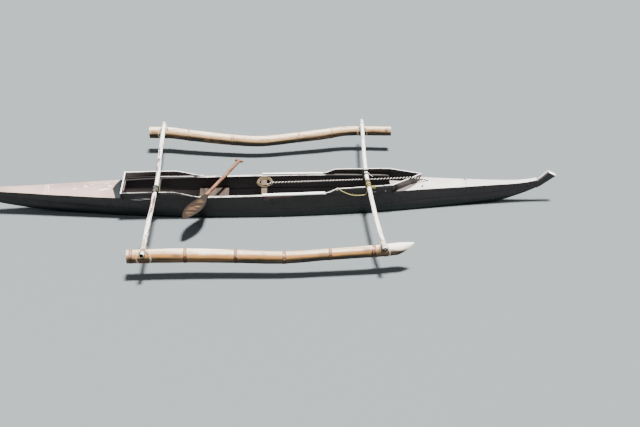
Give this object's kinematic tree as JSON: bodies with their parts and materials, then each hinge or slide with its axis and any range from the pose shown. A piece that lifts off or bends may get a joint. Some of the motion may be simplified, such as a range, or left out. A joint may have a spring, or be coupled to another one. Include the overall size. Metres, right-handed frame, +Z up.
{
  "type": "outrigger canoe",
  "caption": "Small dug-out paddling canoe with low decks, painted pole booms and a bamboo float on each side.",
  "frame": {"origin": "on the waterline, on the hull's centreline, at the middle of the hull's length", "axes": "+X to the bow, +Y to port, +Z up"},
  "size_m": [5.228, 2.543, 0.4328],
  "materials": {
    "hull_paint": "worn paint",
    "deck_paint": "worn paint",
    "white_paint": "worn paint",
    "pole_paint": "peeling paint",
    "bare_wood": "weathered",
    "bamboo": "weathered",
    "lashing_cord": "matte",
    "coil_cord": "matte",
    "slack_cord": "matte",
    "paddle_wood": "oiled, worn"
  },
  "bodies": {
    "canoe": {"hull_log_aft": "hull_paint", "hull_log_middle": "hull_paint", "hull_log_fore": "hull_paint", "log_side_port_aft": "hull_paint", "log_side_port_seat": "hull_paint", "log_side_port_middle": "hull_paint", "log_side_port_fore": "hull_paint", "log_side_starboard_aft": "hull_paint", "log_side_starboard_seat": "hull_paint", "log_side_starboard_middle": "hull_paint", "log_side_starboard_fore": "hull_paint", "log_end_aft": "hull_paint", "log_end_fore": "hull_paint", "strake_port_aft": "hull_paint", "strake_port_fore": "hull_paint", "strake_starboard_aft": "hull_paint", "strake_starboard_fore": "hull_paint", "stern_post": "hull_paint", "bow_post": "hull_paint", "bow_tip": "hull_paint", "stern_tip": "hull_paint", "rail_port": "hull_paint", "rail_starboard": "hull_paint", "washboard_aft_port": "hull_paint", "washboard_aft_starboard": "hull_paint", "washboard_fore_port": "hull_paint", "washboard_fore_starboard": "hull_paint", "breakwater_port": "hull_paint", "breakwater_starboard": "hull_paint", "coaming_aft_board": "hull_paint", "aft_deck_fore": "deck_paint", "aft_deck_aft": "deck_paint", "foredeck_aft": "deck_paint", "foredeck_fore": "deck_paint", "rail_cap_port": "white_paint", "rail_cap_starboard": "white_paint", "corner_plate": "white_paint", "boom_aft": "pole_paint", "boom_fore": "pole_paint", "coaming_aft_cleat": "bare_wood", "thwart": "bare_wood", "boom_thwart_aft": "bare_wood", "boom_thwart_fore": "bare_wood", "seat_board": "bare_wood", "float_starboard": "bamboo", "float_port": "bamboo", "float_lashing_aft_starboard": "lashing_cord", "float_lashing_fore_starboard": "lashing_cord", "float_lashing_aft_port": "lashing_cord", "float_lashing_fore_port": "lashing_cord", "hull_lashing_aft": "lashing_cord", "hull_lashing_fore_port": "lashing_cord", "hull_lashing_fore_starboard": "lashing_cord", "cord_coil": "coil_cord", "slack_cord": "slack_cord"},
    "paddle": {"paddle": "paddle_wood"}
  },
  "joints": [
    {"name": "paddle_lift", "type": "slide", "parent": "canoe", "child": "paddle", "axis": [0, 0, 1], "range_m": [0, 0.8]}
  ]
}
